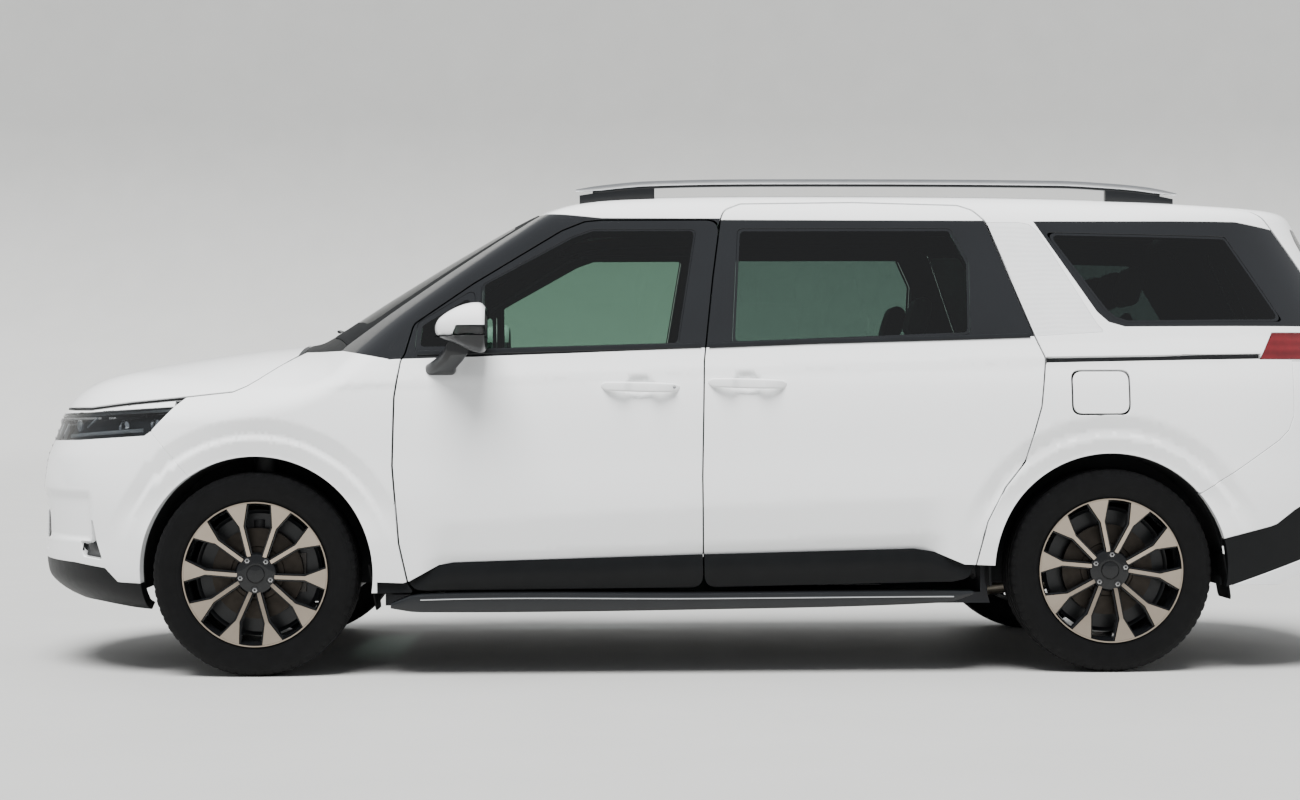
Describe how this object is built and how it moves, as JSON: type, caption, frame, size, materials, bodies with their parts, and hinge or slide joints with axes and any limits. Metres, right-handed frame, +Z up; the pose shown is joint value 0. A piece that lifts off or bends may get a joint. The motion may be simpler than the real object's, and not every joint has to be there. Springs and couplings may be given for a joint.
{
  "type": "minivan",
  "caption": "Long minivan with hinged front doors, sliding rear doors, bonnet, tailgate, fuel flap, steered front wheels and roof rails.",
  "frame": {"origin": "on the ground under the middle of the body, at mid length and mid width", "axes": "+X forward, +Y to the left of the car, +Z up"},
  "size_m": [5.157, 2.3836, 1.812],
  "materials": {
    "body_paint": "gloss",
    "glass": "gloss",
    "black_trim": "grained",
    "tyre": "matte",
    "alloy": "machined",
    "steel": "satin",
    "lamp": "gloss",
    "red_lamp": "gloss",
    "seat": "woven",
    "cabin_plastic": "grained",
    "rail_metal": "satin",
    "floor_steel": "matte"
  },
  "bodies": {
    "body": {"body_side_left": "body_paint", "body_side_right": "body_paint", "cowl": "black_trim", "dashboard": "cabin_plastic", "engine": "steel", "exhaust": "steel", "fender_left": "body_paint", "fender_right": "body_paint", "floor_pan": "floor_steel", "front_bumper": "body_paint", "front_frame": "floor_steel", "front_seats": "seat", "front_suspension": "steel", "front_wheel_houses": "floor_steel", "grille": "black_trim", "headlamps": "lamp", "middle_seats": "seat", "rear_axle": "steel", "rear_bench": "seat", "rear_bumper": "body_paint", "rear_wheel_houses": "floor_steel", "roof_panel": "body_paint", "roof_rails": "rail_metal", "running_boards": "black_trim", "side_glass": "glass", "sliding_door_left": "body_paint", "sliding_door_right": "body_paint", "tail_lamps": "red_lamp", "windscreen": "glass"},
    "bonnet": {"bonnet": "body_paint"},
    "tailgate": {"tailgate": "body_paint", "tailgate_glass": "glass"},
    "front_door_left": {"front_door_left": "body_paint", "front_door_glass_left": "glass", "mirror_left": "body_paint"},
    "front_door_right": {"front_door_right": "body_paint", "front_door_glass_right": "glass", "mirror_right": "body_paint"},
    "fuel_flap": {"fuel_flap": "body_paint"},
    "knuckle_left": {"knuckle_left": "steel"},
    "knuckle_right": {"knuckle_right": "steel"},
    "wheel_front_left": {"wheel_front_left": "alloy", "tyre_front_left": "tyre"},
    "wheel_front_right": {"wheel_front_right": "alloy", "tyre_front_right": "tyre"},
    "wheel_rear_left": {"wheel_rear_left": "alloy", "tyre_rear_left": "tyre"},
    "wheel_rear_right": {"wheel_rear_right": "alloy", "tyre_rear_right": "tyre"},
    "steering_wheel": {"steering_wheel": "cabin_plastic"}
  },
  "joints": [
    {"name": "bonnet_hinge", "type": "hinge", "parent": "body", "child": "bonnet", "pos_m": [1.49, 0, 1.195], "axis": [0, -1, 0], "range_deg": [0, 55]},
    {"name": "tailgate_hinge", "type": "hinge", "parent": "body", "child": "tailgate", "pos_m": [-1.996, 0, 1.731], "axis": [0, 1, 0], "range_deg": [0, 85]},
    {"name": "front_door_left_hinge", "type": "hinge", "parent": "body", "child": "front_door_left", "pos_m": [1.122, 0.988, 0.75], "axis": [0, 0, -1], "range_deg": [0, 68]},
    {"name": "front_door_right_hinge", "type": "hinge", "parent": "body", "child": "front_door_right", "pos_m": [1.122, -0.988, 0.75], "axis": [0, 0, 1], "range_deg": [0, 68]},
    {"name": "fuel_flap_hinge", "type": "hinge", "parent": "body", "child": "fuel_flap", "pos_m": [-1.314, 0.98, 1.013], "axis": [0, 0, -1], "range_deg": [0, 85]},
    {"name": "steer_left", "type": "hinge", "parent": "body", "child": "knuckle_left", "pos_m": [1.6425, 0.834, 0.368], "axis": [0, 0, 1], "range_deg": [-33, 33]},
    {"name": "steer_right", "type": "hinge", "parent": "body", "child": "knuckle_right", "pos_m": [1.6425, -0.834, 0.368], "axis": [0, 0, 1], "range_deg": [-33, 33]},
    {"name": "steering_wheel_turn", "type": "hinge", "parent": "body", "child": "steering_wheel", "pos_m": [0.7402, 0.4, 0.96942], "axis": [-0.9135, 0, 0.4067], "range_deg": [-500, 500]},
    {"name": "wheel_front_left_spin", "type": "hinge", "parent": "knuckle_left", "child": "wheel_front_left", "pos_m": [1.6425, 0.86, 0.368], "axis": [0, 1, 0], "continuous": true},
    {"name": "wheel_front_right_spin", "type": "hinge", "parent": "knuckle_right", "child": "wheel_front_right", "pos_m": [1.6425, -0.86, 0.368], "axis": [0, 1, 0], "continuous": true},
    {"name": "wheel_rear_left_spin", "type": "hinge", "parent": "body", "child": "wheel_rear_left", "pos_m": [-1.4475, 0.86, 0.368], "axis": [0, 1, 0], "continuous": true},
    {"name": "wheel_rear_right_spin", "type": "hinge", "parent": "body", "child": "wheel_rear_right", "pos_m": [-1.4475, -0.86, 0.368], "axis": [0, 1, 0], "continuous": true}
  ],
  "couplings": [
    {"joint": "steer_right", "follows": "steer_left", "ratio": 1},
    {"joint": "steering_wheel_turn", "follows": "steer_left", "ratio": 14.5}
  ]
}
